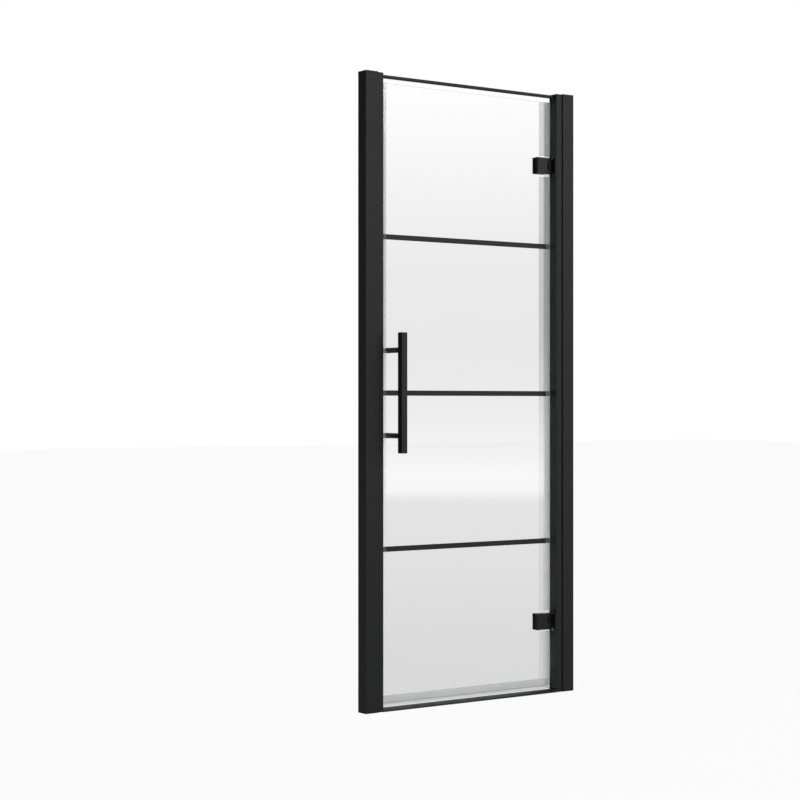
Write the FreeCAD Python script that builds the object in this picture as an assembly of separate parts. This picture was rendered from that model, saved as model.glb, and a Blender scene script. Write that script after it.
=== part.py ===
"""Framed pivot shower door for a recess, closed, with its hinges on the right-hand jamb.

Millimetres. X runs along the doorway from the strike side to the hinge side, Y from the bathroom
into the shower, and Z up. The origin is on the underside of the threshold, half way between the two
wall faces and half way through the depth of the posts.
"""
import FreeCAD, Part
import math, os

V = FreeCAD.Vector

# Whole door
overall_width = 779.0
overall_height = 1850.0
post_depth = 40.0

# Wall channels, which the jambs telescope into
channel_width = 42.5
channel_wall = 2.0
channel_corner_r = 0.8
channel_cap_height = 6.0
channel_cap_top = 1.0
channel_cap_overhang = 0.8
cap_spigot_thickness = 3.0
cap_spigot_length = 10.0
cap_spigot_side_gap = 4.0
wall_screw_hole_r = 2.75
wall_screw_end_gap = 100.0
wall_screw_count = 4

# Jambs
slide_clearance = 1.0
jamb_insertion = 27.0
jamb_wall = 1.5
jamb_corner_r = 0.6
left_jamb_reveal = 20.9
right_jamb_reveal = 24.3
jamb_cap_thickness = 2.0
jamb_cap_drop = 1.4
jamb_cap_plug = 8.0
plug_clearance = 0.1

# Width adjusters, screwed into the jambs through slots in the channels' inner legs
adjust_travel = 10.0
adjuster_count = 3
adjuster_end_gap = 150.0
adjuster_depth_in_channel = 15.0
adjuster_r = 2.0
adjuster_head_r = 3.8
adjuster_head_height = 2.2
adjuster_head_gap = 0.3
adjuster_reach = 3.0
adjuster_cap_wall = 1.2

# Header and threshold rails between the jambs
header_depth = 20.0
header_thickness = 6.9
header_drop = 5.5
header_forward = 6.0
header_edge_r = 0.8
threshold_depth = 30.0
threshold_height = 8.5
threshold_nose = 4.5
threshold_slope_run = 6.0
threshold_groove_width = 3.0
threshold_groove_depth = 1.2
threshold_groove_inset = 6.0
rail_screw_r = 2.0
rail_screw_head_r = 3.6
rail_screw_head_height = 2.4
rail_screw_length = 16.0
driver_hole_r = 4.5
thread_clearance = 0.05
hole_clearance = 0.3

# Glass leaf
glass_thickness = 8.0
header_gap = 12.6
glass_bottom = 20.0
hinge_gap = 3.5
fixing_hole_r = 6.0

# Bars bonded to the front of the glass
bar_height = 15.4
bar_thickness = 1.0
bar_spacing = 455.0

# Seals
seal_wall = 1.1
strike_leg = 11.9
hinge_front_leg = 16.0
hinge_back_leg = 35.0
seal_head_width = 10.0
seal_head_depth = 9.0
strike_gap = 0.8
magnet_holder_width = 5.8
magnet_clearance = 0.1
stop_fin_reach = 5.8
stop_fin_thickness = 1.3
stop_fin_gap = 0.4
lip_clearance = 0.3
lip_thickness = 0.9
lip_rise = 1.3
bottom_leg = 20.0
wiper_clearance = 1.2
wiper_thickness = 1.2
seal_joint_gap = 0.5

# Hinges
hinge_end_distance = 199.0
block_width = 41.2
block_height = 50.0
block_depth = 12.6
block_end_r = 4.0
block_edge_r = 1.2
gasket_thickness = 0.8
inner_plate_thickness = 3.0
jamb_plate_thickness = 3.5
jamb_plate_height = 64.0
jamb_plate_front_margin = 1.2
jamb_plate_back_margin = 1.0
pivot_to_plate = 8.5
pivot_to_block = 8.5
knuckle_r = 5.0
knuckle_web = 7.0
middle_knuckle_height = 18.0
pin_r = 2.5
pin_end_recess = 0.5
running_clearance = 0.05
seat_clearance = 0.02
bush_wall = 1.0
bush_flange_thickness = 0.8
bush_flange_r = 4.6
bush_end_gap = 0.2
clamp_screw_spacing = 25.0
clamp_screw_r = 3.0
clamp_screw_head_r = 5.2
clamp_screw_depth = 9.0
plate_screw_spacing = 49.0
plate_screw_r = 2.5
plate_screw_head_r = 4.6
clamp_socket_width = 4.0
plate_socket_width = 3.0
screw_socket_depth = 1.8
backing_plate_thickness = 4.0
backing_plate_margin = 3.0

# Handle, on the outside of the glass
handle_length = 349.0
handle_width = 20.0
handle_tube_wall = 2.0
handle_edge_r = 0.8
handle_projection = 83.0
handle_end_plate = 1.5
handle_plug_length = 8.0
standoff_inset = 50.5
standoff_r = 7.9
standoff_collar_r = 8.2
standoff_collar_length = 3.0
standoff_spigot_r = 4.5
standoff_spigot_length = 8.0
handle_seal_gap = 0.2
stud_r = 3.0
stud_depth = 15.0
washer_thickness = 1.0
inner_cap_r = 8.0
inner_cap_length = 9.0
inner_cap_edge_r = 1.0
stud_in_cap = 6.0


def evenly(first, last, count):
    """Places spread evenly from the first to the last."""
    return [first + (last - first) * step / (count - 1) for step in range(count)]


# Places that follow from the sizes above
wall_x = overall_width / 2
post_back = post_depth / 2
post_front = -post_back
channel_height = overall_height - channel_cap_height
channel_inner_y = post_back - channel_wall
jamb_half_depth = channel_inner_y - slide_clearance
jamb_height = overall_height - jamb_cap_drop - jamb_cap_thickness
left_jamb_x = -wall_x + channel_width + left_jamb_reveal
right_jamb_x = wall_x - channel_width - right_jamb_reveal
header_bottom = overall_height - header_drop - header_thickness
header_front = -header_forward
threshold_back = post_front + threshold_depth
glass_left = left_jamb_x + magnet_holder_width + strike_gap + seal_head_width
glass_right = right_jamb_x - hinge_gap
glass_top = header_bottom - header_gap
glass_middle = (glass_bottom + glass_top) / 2
glass_back = post_back
glass_front = glass_back - glass_thickness
seal_front = glass_front - bar_thickness
seal_back = glass_back + seal_wall
head_back = glass_front + seal_head_depth / 2 + seal_wall
head_front = head_back - seal_head_depth
bottom_seal_top = glass_bottom + bottom_leg
plate_face_x = right_jamb_x - jamb_plate_thickness
pivot_x = plate_face_x - pivot_to_plate
block_right = pivot_x - pivot_to_block
block_left = block_right - block_width
block_back = glass_front - gasket_thickness
block_front = block_back - block_depth
pivot_y = block_front + knuckle_r
inner_gasket_back = glass_back + gasket_thickness
inner_plate_back = inner_gasket_back + inner_plate_thickness
handle_x = glass_left + strike_leg + handle_seal_gap + max(standoff_collar_r, inner_cap_r)
handle_front = glass_front - handle_projection
handle_back = handle_front + handle_width
hinge_heights = {
    "upper": glass_top - hinge_end_distance,
    "lower": glass_bottom + hinge_end_distance,
}
standoff_heights = (
    glass_middle - handle_length / 2 + standoff_inset,
    glass_middle + handle_length / 2 - standoff_inset,
)
wall_screw_heights = evenly(wall_screw_end_gap, overall_height - wall_screw_end_gap, wall_screw_count)
adjuster_heights = evenly(adjuster_end_gap, overall_height - adjuster_end_gap, adjuster_count)
adjuster_from_wall = channel_width - adjuster_depth_in_channel
jamb_from_wall = channel_width - jamb_insertion
jamb_reveals = {-1: left_jamb_reveal, 1: right_jamb_reveal}
header_screw_y = header_front + header_depth / 2
header_screw_z = header_bottom + header_thickness / 2
threshold_screw_y = post_front + threshold_depth / 2
threshold_screw_z = threshold_height / 2
rail_screw_places = ((header_screw_y, header_screw_z), (threshold_screw_y, threshold_screw_z))
jamb_plate_front = -jamb_half_depth + jamb_plate_front_margin
jamb_plate_back = glass_front - jamb_plate_back_margin
plate_screw_y = (jamb_plate_front + jamb_plate_back) / 2
clamp_screw_x = (block_left + block_right) / 2
bush_bore_r = pin_r + running_clearance
bush_outer_r = bush_bore_r + bush_wall
handle_low = glass_middle - handle_length / 2
handle_high = glass_middle + handle_length / 2

# How far a cutter runs past what it cuts, and how close two places count as the same
past = 1.0
tolerance = 1e-6


# Plain shapes

def block(x0, x1, y0, y1, z0, z1):
    """Box between two opposite corners."""
    return Part.makeBox(x1 - x0, y1 - y0, z1 - z0, V(x0, y0, z0))


def side_block(side, near, far, y0, y1, z0, z1):
    """Box between two distances from the wall face, on the side -1 (strike) or +1 (hinge)."""
    ends = sorted(side * (wall_x - distance) for distance in (near, far))
    return block(ends[0], ends[1], y0, y1, z0, z1)


def rod_x(radius, x0, x1, y, z):
    """Round bar along X."""
    return Part.makeCylinder(radius, x1 - x0, V(x0, y, z), V(1, 0, 0))


def rod_y(radius, y0, y1, x, z):
    """Round bar along Y."""
    return Part.makeCylinder(radius, y1 - y0, V(x, y0, z), V(0, 1, 0))


def rod_z(radius, z0, z1, x, y):
    """Upright round bar."""
    return Part.makeCylinder(radius, z1 - z0, V(x, y, z0), V(0, 0, 1))


def upright(outline, z0, z1):
    """Prism on a closed outline of (x, y) points, from z0 up to z1."""
    wire = Part.makePolygon([V(x, y, z0) for x, y in outline + outline[:1]])
    return Part.Face(wire).extrude(V(0, 0, z1 - z0))


def lengthways(outline, x0, x1):
    """Prism on a closed outline of (y, z) points, from x0 along to x1."""
    wire = Part.makePolygon([V(x0, y, z) for y, z in outline + outline[:1]])
    return Part.Face(wire).extrude(V(x1 - x0, 0, 0))


def joined(*solids):
    """One solid from touching solids, with no seams left between flush faces."""
    return solids[0].fuse(list(solids[1:])).removeSplitter()


def without(solid, cutters):
    """Solid with each cutter taken away."""
    return solid.cut(list(cutters)) if cutters else solid


def rounded_uprights(solid, radius, is_chosen):
    """Solid with the upright edges at the chosen (x, y) places rounded."""
    edges = []
    for edge in solid.Edges:
        start, end = edge.Vertexes[0].Point, edge.Vertexes[-1].Point
        is_upright = abs(start.x - end.x) < tolerance and abs(start.y - end.y) < tolerance
        if is_upright and is_chosen(start.x, start.y):
            edges.append(edge)
    return solid.makeFillet(radius, edges)


# Wall channels

def adjuster_slot(side, z):
    """Slot through the channel's inner leg that lets a jamb screw travel both ways."""
    x = side * (wall_x - adjuster_from_wall)
    half_width = adjuster_r + hole_clearance
    y0, y1 = channel_inner_y - past, post_back + past
    middle = block(x - adjust_travel, x + adjust_travel, y0, y1, z - half_width, z + half_width)
    ends = [rod_y(half_width, y0, y1, x + end * adjust_travel, z) for end in (-1, 1)]
    return middle.fuse(ends)


def wall_channel(side):
    """U-shaped aluminium channel, its web on the wall and its mouth towards the door."""
    outside = side_block(side, 0, channel_width, post_front, post_back, 0, channel_height)
    outside = rounded_uprights(outside, channel_corner_r, lambda x, y: abs(abs(x) - wall_x) < past)
    hollow = side_block(side, channel_wall, channel_width + past, -channel_inner_y, channel_inner_y,
                        -past, channel_height + past)
    wall_holes = [rod_x(wall_screw_hole_r, *sorted((side * (wall_x - channel_wall - past),
                                                    side * (wall_x + past))), 0, z)
                  for z in wall_screw_heights]
    slots = [adjuster_slot(side, z) for z in adjuster_heights]
    return without(outside, [hollow] + wall_holes + slots)


def channel_cap(side):
    """Cap on a channel's top rim, open towards the door so that the jamb can slide under it."""
    back = post_back + channel_cap_overhang
    outside = side_block(side, 0, channel_width, post_front, back, channel_height, overall_height)
    outside = rounded_uprights(outside, channel_corner_r, lambda x, y: abs(abs(x) - wall_x) < past)
    hollow = side_block(side, channel_wall, channel_width + past, -channel_inner_y, channel_inner_y,
                        channel_height - past, overall_height - channel_cap_top)
    spigot = side_block(side, channel_wall, channel_wall + cap_spigot_thickness,
                        -channel_inner_y + cap_spigot_side_gap, channel_inner_y - cap_spigot_side_gap,
                        channel_height - cap_spigot_length, overall_height - channel_cap_top)
    return joined(outside.cut(hollow), spigot)


# Jambs

def plate_screw_heights(hinge_z):
    """Heights of the screws that hold a hinge to its jamb."""
    return (hinge_z - plate_screw_spacing / 2, hinge_z + plate_screw_spacing / 2)


def jamb(side):
    """Hollow jamb, with clearance holes for its rail screws and pilot holes for its adjusters."""
    inner_edge = channel_width + jamb_reveals[side]
    outside = side_block(side, jamb_from_wall, inner_edge, -jamb_half_depth, jamb_half_depth,
                         0, jamb_height)
    outside = rounded_uprights(outside, jamb_corner_r, lambda x, y: True)
    hollow = side_block(side, jamb_from_wall + jamb_wall, inner_edge - jamb_wall,
                        -jamb_half_depth + jamb_wall, jamb_half_depth - jamb_wall,
                        -past, jamb_height + past)
    face_x = side * (wall_x - inner_edge)
    back_x = side * (wall_x - jamb_from_wall)
    holes = []
    for y, z in rail_screw_places:
        face_span = sorted((face_x - side * past, face_x + side * (jamb_wall + past)))
        back_span = sorted((back_x + side * past, back_x - side * (jamb_wall + past)))
        holes.append(rod_x(rail_screw_r + hole_clearance, *face_span, y, z))
        holes.append(rod_x(driver_hole_r, *back_span, y, z))
    adjuster_x = side * (wall_x - adjuster_from_wall)
    for z in adjuster_heights:
        holes.append(rod_y(adjuster_r + thread_clearance, jamb_half_depth - jamb_wall - past,
                           jamb_half_depth + past, adjuster_x, z))
    if side > 0:
        for hinge_z in hinge_heights.values():
            for z in plate_screw_heights(hinge_z):
                holes.append(rod_x(plate_screw_r + hole_clearance, face_x - past,
                                   face_x + jamb_wall + past, plate_screw_y, z))
    return without(outside, [hollow] + holes)


def jamb_cap(side):
    """Cap on a jamb's top, with a plug that fills the tube's mouth."""
    inner_edge = channel_width + jamb_reveals[side]
    lid = side_block(side, jamb_from_wall, inner_edge, -jamb_half_depth, jamb_half_depth,
                     jamb_height, jamb_height + jamb_cap_thickness)
    lid = rounded_uprights(lid, jamb_corner_r, lambda x, y: True)
    inset = jamb_wall + plug_clearance
    plug = side_block(side, jamb_from_wall + inset, inner_edge - inset, -jamb_half_depth + inset,
                      jamb_half_depth - inset, jamb_height - jamb_cap_plug, jamb_height)
    screw_room_x = side * (wall_x - inner_edge)
    room_span = sorted((screw_room_x, screw_room_x + side * (inset + rail_screw_head_height + past)))
    room = block(room_span[0], room_span[1], header_screw_y - rail_screw_head_r - past,
                 header_screw_y + rail_screw_head_r + past, jamb_height - jamb_cap_plug - past, jamb_height)
    return joined(lid, plug.cut(room))


def adjuster_screws(side):
    """Pan-headed screws that clamp a jamb to its channel's inner leg."""
    x = side * (wall_x - adjuster_from_wall)
    head_seat = post_back + adjuster_head_gap
    screws = []
    for z in adjuster_heights:
        shank = rod_y(adjuster_r, jamb_half_depth - jamb_wall - adjuster_reach, head_seat, x, z)
        head = rod_y(adjuster_head_r, head_seat, head_seat + adjuster_head_height, x, z)
        screws.append(joined(shank, head))
    return Part.makeCompound(screws)


def adjuster_caps(side):
    """Push-on covers over the adjusters' heads."""
    x = side * (wall_x - adjuster_from_wall)
    y0 = post_back + adjuster_head_gap
    head_end = y0 + adjuster_head_height
    caps = []
    for z in adjuster_heights:
        outside = rod_y(adjuster_head_r + adjuster_cap_wall, y0, head_end + adjuster_cap_wall, x, z)
        caps.append(outside.cut(rod_y(adjuster_head_r + seat_clearance, y0, head_end, x, z)))
    return Part.makeCompound(caps)


# Rails

def rail_end_holes(y, z):
    """Tapped holes in both ends of a rail."""
    depth = rail_screw_length - jamb_wall + past
    radius = rail_screw_r + thread_clearance
    return [rod_x(radius, left_jamb_x - past, left_jamb_x + depth, y, z),
            rod_x(radius, right_jamb_x - depth, right_jamb_x + past, y, z)]


def header_rail():
    """Flat rail across the top of the doorway."""
    rail = block(left_jamb_x, right_jamb_x, header_front, header_front + header_depth,
                 header_bottom, header_bottom + header_thickness)
    long_edges = [edge for edge in rail.Edges if edge.Length > right_jamb_x - left_jamb_x - past]
    rail = rail.makeFillet(header_edge_r, long_edges)
    return without(rail, rail_end_holes(header_screw_y, header_screw_z))


def threshold_rail():
    """Low dam across the bottom, sloped at the front, with two sealant grooves underneath."""
    outline = [
        (post_front, 0),
        (post_front, threshold_nose),
        (post_front + threshold_slope_run, threshold_height),
        (threshold_back, threshold_height),
        (threshold_back, 0),
    ]
    rail = lengthways(outline, left_jamb_x, right_jamb_x)
    grooves = [block(left_jamb_x - past, right_jamb_x + past, y, y + threshold_groove_width,
                     -past, threshold_groove_depth)
               for y in (post_front + threshold_groove_inset,
                         threshold_back - threshold_groove_inset - threshold_groove_width)]
    return without(rail, grooves + rail_end_holes(threshold_screw_y, threshold_screw_z))


def rail_screws(y, z):
    """One screw from inside each jamb into a rail's end."""
    left_seat = left_jamb_x - jamb_wall
    right_seat = right_jamb_x + jamb_wall
    left = joined(rod_x(rail_screw_head_r, left_seat - rail_screw_head_height, left_seat, y, z),
                  rod_x(rail_screw_r, left_seat, left_seat + rail_screw_length, y, z))
    right = joined(rod_x(rail_screw_head_r, right_seat, right_seat + rail_screw_head_height, y, z),
                   rod_x(rail_screw_r, right_seat - rail_screw_length, right_seat, y, z))
    return Part.makeCompound([left, right])


# Strike side of the frame

def jamb_magnet_holder():
    """Hollow profile on the strike jamb, with a fin behind the door that stops it at closed."""
    z0, z1 = threshold_height + seal_joint_gap, header_bottom - seal_joint_gap
    face = left_jamb_x + magnet_holder_width
    fin_front = head_back + stop_fin_gap
    fin_back = fin_front + stop_fin_thickness
    body = block(left_jamb_x, face, head_front, fin_back, z0, z1)
    fin = block(left_jamb_x, face + stop_fin_reach, fin_front, fin_back, z0, z1)
    cavity = block(left_jamb_x + seal_wall, face - seal_wall, head_front + seal_wall,
                   head_back - seal_wall, z0 - past, z1 + past)
    return joined(body, fin).cut(cavity)


def jamb_magnet_strip():
    """Magnet inside the holder on the strike jamb."""
    inset = seal_wall + magnet_clearance
    return block(left_jamb_x + inset, left_jamb_x + magnet_holder_width - inset,
                 head_front + inset, head_back - inset,
                 threshold_height + seal_joint_gap, header_bottom - seal_joint_gap)


# Glass and what is on it

def door_glass():
    """Toughened leaf, drilled for its hinges and its handle."""
    leaf = block(glass_left, glass_right, glass_front, glass_back, glass_bottom, glass_top)
    places = [(handle_x, z) for z in standoff_heights]
    for hinge_z in hinge_heights.values():
        places += [(clamp_screw_x, z) for z in clamp_screw_heights(hinge_z)]
    holes = [rod_y(fixing_hole_r, glass_front - past, glass_back + past, x, z) for x, z in places]
    return without(leaf, holes)


def glass_bar(z):
    """Flat bar across the front of the glass."""
    return block(glass_left, glass_right, glass_front - bar_thickness, glass_front,
                 z - bar_height / 2, z + bar_height / 2)


def strike_seal():
    """Clear profile that grips the glass's free edge and carries the magnet's tube."""
    z0, z1 = bottom_seal_top + seal_joint_gap, glass_top
    leg_end = glass_left + strike_leg
    web_x = glass_left - seal_wall
    head_x = glass_left - seal_head_width
    head = block(head_x, glass_left, head_front, head_back, z0, z1)
    cavity = block(head_x + seal_wall, web_x, head_front + seal_wall, head_back - seal_wall,
                   z0 - past, z1 + past)
    web = block(web_x, glass_left, seal_front - seal_wall, seal_back, z0, z1)
    front_leg = block(glass_left, leg_end, seal_front - seal_wall, seal_front, z0, z1)
    back_leg = block(glass_left, leg_end, glass_back, seal_back, z0, z1)
    return joined(head.cut(cavity), web, front_leg, back_leg)


def strike_seal_magnet():
    """Magnet inside the strike seal's tube."""
    inset = seal_wall + magnet_clearance
    return block(glass_left - seal_head_width + inset, glass_left - inset,
                 head_front + inset, head_back - inset, bottom_seal_top + seal_joint_gap, glass_top)


def hinge_seal(z0, z1):
    """Clear profile that grips the glass's hinged edge, with a lip towards the jamb."""
    web_x = glass_right + seal_wall
    lip_end = right_jamb_x - lip_clearance
    web = block(glass_right, web_x, seal_front - seal_wall, seal_back, z0, z1)
    front_start, back_start = glass_right - hinge_front_leg, glass_right - hinge_back_leg
    front_leg = block(front_start, glass_right, seal_front - seal_wall, seal_front, z0, z1)
    back_leg = block(back_start, glass_right, glass_back, seal_back, z0, z1)
    lip = upright([
        (glass_right, seal_front - seal_wall),
        (web_x, seal_front - seal_wall),
        (lip_end, seal_front - seal_wall + lip_rise),
        (lip_end, seal_front - seal_wall + lip_rise + lip_thickness),
        (glass_right, seal_front - seal_wall + lip_rise + lip_thickness),
    ], z0, z1)
    return joined(web, front_leg, back_leg, lip)


def hinge_seal_spans():
    """Heights that the hinge seal's three pieces cover, clear of both hinges."""
    half_gap = jamb_plate_height / 2 + seal_joint_gap
    return {
        "bottom": (bottom_seal_top + seal_joint_gap, hinge_heights["lower"] - half_gap),
        "middle": (hinge_heights["lower"] + half_gap, hinge_heights["upper"] - half_gap),
        "top": (hinge_heights["upper"] + half_gap, glass_top),
    }


def bottom_seal():
    """Clear profile under the glass, with a wiper that passes just over the threshold."""
    bottom = threshold_height + wiper_clearance
    middle = (glass_front + glass_back) / 2
    front, back = glass_front - seal_wall, glass_back + seal_wall
    outline = [
        (front, bottom_seal_top),
        (front, glass_bottom - seal_wall),
        (middle - wiper_thickness, glass_bottom - seal_wall),
        (front, bottom),
        (front + wiper_thickness, bottom),
        (middle + wiper_thickness, glass_bottom - seal_wall),
        (back, glass_bottom - seal_wall),
        (back, bottom_seal_top),
        (glass_back, bottom_seal_top),
        (glass_back, glass_bottom),
        (glass_front, glass_bottom),
        (glass_front, bottom_seal_top),
    ]
    return lengthways(outline, glass_left, glass_right)


# Hinges

def clamp_screw_heights(hinge_z):
    """Heights of the screws that clamp a hinge's two halves through the glass."""
    return (hinge_z - clamp_screw_spacing / 2, hinge_z + clamp_screw_spacing / 2)


def hex_socket(width, face, inwards):
    """Six-sided prism that cuts a key's socket into a screw's face."""
    corner_r = width / math.sqrt(3)
    turns = [side * math.pi / 3 for side in range(6)]
    corners = [V(corner_r * math.cos(turn), corner_r * math.sin(turn), -past) for turn in turns]
    prism = Part.Face(Part.makePolygon(corners + corners[:1])).extrude(V(0, 0, past + screw_socket_depth))
    prism.Placement = FreeCAD.Placement(face, FreeCAD.Rotation(V(0, 0, 1), inwards))
    return prism


def countersunk_x(radius, head_r, x_face, x_end, y, z):
    """Countersunk screw along +X, its head flush with x_face."""
    head = Part.makeCone(head_r, radius, head_r - radius, V(x_face, y, z), V(1, 0, 0))
    return joined(head, rod_x(radius, x_face + head_r - radius, x_end, y, z))


def countersunk_y(radius, head_r, y_face, y_end, x, z):
    """Countersunk screw along -Y, its head flush with y_face."""
    head = Part.makeCone(head_r, radius, head_r - radius, V(x, y_face, z), V(0, -1, 0))
    return joined(head, rod_y(radius, y_end, y_face - head_r + radius, x, z))


def hinge_front_block(z):
    """Outer half of a hinge, with a knuckle above and one below the jamb's."""
    z0, z1 = z - block_height / 2, z + block_height / 2
    body = block(block_left, block_right, block_front, block_back, z0, z1)
    body = rounded_uprights(body, block_end_r,
                            lambda x, y: x > block_right - past and y < block_front + past)
    body = rounded_uprights(body, block_edge_r,
                            lambda x, y: x < block_left + past and y < block_front + past)
    reach = middle_knuckle_height / 2 + bush_flange_thickness + bush_end_gap
    solids = [body]
    for low, high in ((z0, z - reach), (z + reach, z1)):
        solids.append(rod_z(knuckle_r, low, high, pivot_x, pivot_y))
        solids.append(block(block_right - block_end_r, pivot_x, pivot_y - knuckle_web / 2,
                            pivot_y + knuckle_web / 2, low, high))
    bore = rod_z(pin_r + seat_clearance, z0 - past, z1 + past, pivot_x, pivot_y)
    taps = [rod_y(clamp_screw_r + thread_clearance, block_back - clamp_screw_depth - past,
                  block_back + past, clamp_screw_x, screw_z)
            for screw_z in clamp_screw_heights(z)]
    return without(joined(*solids), [bore] + taps)


def hinge_gasket(y0, y1, z):
    """Gasket between the glass and one half of a hinge."""
    pad = block(block_left, block_right, y0, y1, z - block_height / 2, z + block_height / 2)
    holes = [rod_y(clamp_screw_r + thread_clearance, y0 - past, y1 + past, clamp_screw_x, screw_z)
             for screw_z in clamp_screw_heights(z)]
    return without(pad, holes)


def hinge_inner_plate(z):
    """Inner half of a hinge, countersunk for the clamp screws."""
    plate = block(block_left, block_right, inner_gasket_back, inner_plate_back,
                  z - block_height / 2, z + block_height / 2)
    screws = [countersunk_y(clamp_screw_r + thread_clearance, clamp_screw_head_r + thread_clearance,
                            inner_plate_back, inner_gasket_back - past, clamp_screw_x, screw_z)
              for screw_z in clamp_screw_heights(z)]
    return without(plate, screws)


def hinge_clamp_screws(z):
    """Screws from the inner plate through the glass into the front block."""
    screws = []
    for screw_z in clamp_screw_heights(z):
        screw = countersunk_y(clamp_screw_r, clamp_screw_head_r, inner_plate_back,
                              block_back - clamp_screw_depth, clamp_screw_x, screw_z)
        face = V(clamp_screw_x, inner_plate_back, screw_z)
        screws.append(screw.cut(hex_socket(clamp_socket_width, face, V(0, -1, 0))))
    return Part.makeCompound(screws)


def glass_sleeves(bolt_r, places):
    """Sleeves that keep bolts off the rims of their holes in the glass."""
    sleeves = []
    for x, z in places:
        outside = rod_y(fixing_hole_r - seat_clearance, glass_front, glass_back, x, z)
        bore = rod_y(bolt_r + thread_clearance, glass_front - past, glass_back + past, x, z)
        sleeves.append(outside.cut(bore))
    return Part.makeCompound(sleeves)


def hinge_pin(z):
    """Pin held in the block's knuckles, turning in the jamb knuckle's bushes."""
    half = block_height / 2 - pin_end_recess
    return rod_z(pin_r, z - half, z + half, pivot_x, pivot_y)


def hinge_jamb_plate(z):
    """Plate on the jamb's inner face, with the hinge's middle knuckle."""
    plate = block(plate_face_x, right_jamb_x, jamb_plate_front, jamb_plate_back,
                  z - jamb_plate_height / 2, z + jamb_plate_height / 2)
    z0, z1 = z - middle_knuckle_height / 2, z + middle_knuckle_height / 2
    web = block(pivot_x, plate_face_x, pivot_y - knuckle_web / 2, pivot_y + knuckle_web / 2, z0, z1)
    body = joined(plate, web, rod_z(knuckle_r, z0, z1, pivot_x, pivot_y))
    bush_bore = rod_z(bush_outer_r + seat_clearance, z0 - past, z1 + past, pivot_x, pivot_y)
    screws = [countersunk_x(plate_screw_r + thread_clearance, plate_screw_head_r + thread_clearance,
                            plate_face_x, right_jamb_x + past, plate_screw_y, screw_z)
              for screw_z in plate_screw_heights(z)]
    return without(body, [bush_bore] + screws)


def hinge_plate_screws(z):
    """Countersunk screws through the plate and the jamb's wall into the backing plate."""
    end = right_jamb_x + jamb_wall + backing_plate_thickness + past
    screws = []
    for screw_z in plate_screw_heights(z):
        screw = countersunk_x(plate_screw_r, plate_screw_head_r, plate_face_x, end, plate_screw_y, screw_z)
        face = V(plate_face_x, plate_screw_y, screw_z)
        screws.append(screw.cut(hex_socket(plate_socket_width, face, V(1, 0, 0))))
    return Part.makeCompound(screws)


def hinge_backing_plate(z):
    """Tapped plate inside the jamb's tube."""
    x0 = right_jamb_x + jamb_wall
    plate = block(x0, x0 + backing_plate_thickness, jamb_plate_front + backing_plate_margin,
                  jamb_plate_back - backing_plate_margin,
                  z - jamb_plate_height / 2, z + jamb_plate_height / 2)
    return without(plate, [rod_x(plate_screw_r + thread_clearance, x0 - past,
                                 x0 + backing_plate_thickness + past, plate_screw_y, screw_z)
                           for screw_z in plate_screw_heights(z)])


def hinge_bushes(z):
    """Flanged bushes, one in each end of the jamb's knuckle."""
    bushes = []
    for up in (-1, 1):
        face = z + up * middle_knuckle_height / 2
        middle = z + up * bush_end_gap / 2
        flange_end = face + up * bush_flange_thickness
        sleeve = rod_z(bush_outer_r, *sorted((middle, face)), pivot_x, pivot_y)
        flange = rod_z(bush_flange_r, *sorted((face, flange_end)), pivot_x, pivot_y)
        bore = rod_z(bush_bore_r, *sorted((middle - up * past, flange_end + up * past)), pivot_x, pivot_y)
        bushes.append(joined(sleeve, flange).cut(bore))
    return Part.makeCompound(bushes)


# Handle

def handle_bar():
    """Square tube, pierced at the back for the standoffs' spigots."""
    half = handle_width / 2
    z0, z1 = handle_low + handle_end_plate, handle_high - handle_end_plate
    tube = block(handle_x - half, handle_x + half, handle_front, handle_back, z0, z1)
    tube = rounded_uprights(tube, handle_edge_r, lambda x, y: True)
    hollow_half = half - handle_tube_wall
    hollow = block(handle_x - hollow_half, handle_x + hollow_half, handle_front + handle_tube_wall,
                   handle_back - handle_tube_wall, z0 - past, z1 + past)
    holes = [rod_y(standoff_spigot_r + seat_clearance, handle_back - handle_tube_wall - past,
                   handle_back + past, handle_x, z) for z in standoff_heights]
    return without(tube, [hollow] + holes)


def handle_end_plugs():
    """Plugs that close the tube's two ends."""
    half = handle_width / 2
    plug_half = half - handle_tube_wall - plug_clearance
    plug_front = handle_front + handle_tube_wall + plug_clearance
    plug_back = handle_back - handle_tube_wall - plug_clearance
    plugs = []
    for end, inwards in ((handle_low, 1), (handle_high, -1)):
        plate_z = sorted((end, end + inwards * handle_end_plate))
        plug_start = end + inwards * handle_end_plate
        plug_z = sorted((plug_start, plug_start + inwards * handle_plug_length))
        plate = block(handle_x - half, handle_x + half, handle_front, handle_back, *plate_z)
        plate = rounded_uprights(plate, handle_edge_r, lambda x, y: True)
        plug = block(handle_x - plug_half, handle_x + plug_half, plug_front, plug_back, *plug_z)
        plugs.append(joined(plate, plug))
    return Part.makeCompound(plugs)


def handle_standoffs():
    """Round standoffs, collared at both ends, that carry the bar off the glass."""
    glass_end = glass_front - washer_thickness
    standoffs = []
    for z in standoff_heights:
        solid = joined(
            rod_y(standoff_spigot_r, handle_back - standoff_spigot_length, handle_back, handle_x, z),
            rod_y(standoff_r, handle_back, glass_end, handle_x, z),
            rod_y(standoff_collar_r, handle_back, handle_back + standoff_collar_length, handle_x, z),
            rod_y(standoff_collar_r, glass_end - standoff_collar_length, glass_end, handle_x, z),
        )
        tap = rod_y(stud_r + thread_clearance, glass_end - stud_depth - past, glass_end + past, handle_x, z)
        standoffs.append(solid.cut(tap))
    return Part.makeCompound(standoffs)


def handle_washers(radius, y0):
    """Washers against one face of the glass."""
    y1 = y0 + washer_thickness
    washers = []
    for z in standoff_heights:
        disc = rod_y(radius, y0, y1, handle_x, z)
        washers.append(disc.cut(rod_y(stud_r + thread_clearance, y0 - past, y1 + past, handle_x, z)))
    return Part.makeCompound(washers)


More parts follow.
